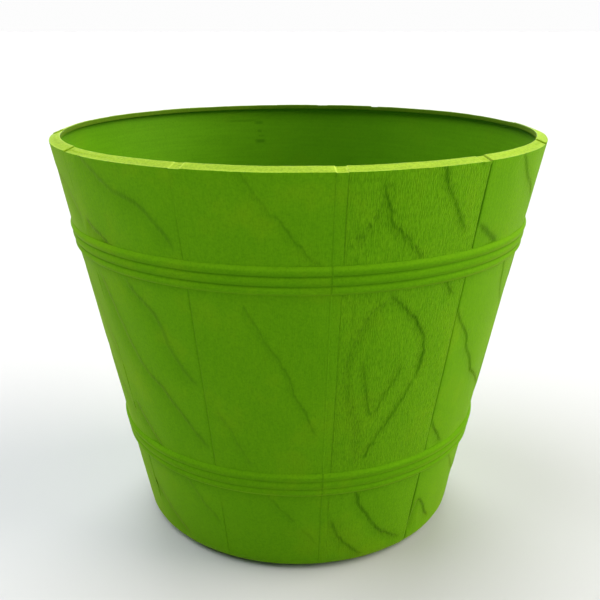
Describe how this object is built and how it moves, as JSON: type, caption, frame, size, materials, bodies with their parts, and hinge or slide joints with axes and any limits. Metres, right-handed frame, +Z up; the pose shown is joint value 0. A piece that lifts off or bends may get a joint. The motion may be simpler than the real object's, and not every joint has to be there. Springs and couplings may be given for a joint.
{
  "type": "florist bucket",
  "caption": "Open round tapered bucket in green plastic, moulded like a coopered tub with upright staves, two beaded hoops and wood-ring relief.",
  "frame": {"origin": "centre of the ring that the bucket stands on, on the ground", "axes": "+Z up through the middle of the mouth; -Y is the front, where the wide oval wood figure is just right of centre; +X to the right"},
  "size_m": [0.3, 0.3, 0.251],
  "materials": {
    "green_plastic": "satin apple-green moulded plastic with a fine wood-grain texture outside and a smoother inside"
  },
  "bodies": {
    "root": {"stave_01": "green_plastic", "stave_02": "green_plastic", "stave_03": "green_plastic", "stave_04": "green_plastic", "stave_05": "green_plastic", "stave_06": "green_plastic", "stave_07": "green_plastic", "stave_08": "green_plastic", "stave_09": "green_plastic", "stave_10": "green_plastic", "stave_11": "green_plastic", "stave_12": "green_plastic", "upper_hoop": "green_plastic", "lower_hoop": "green_plastic", "base_floor": "green_plastic"}
  },
  "joints": []
}
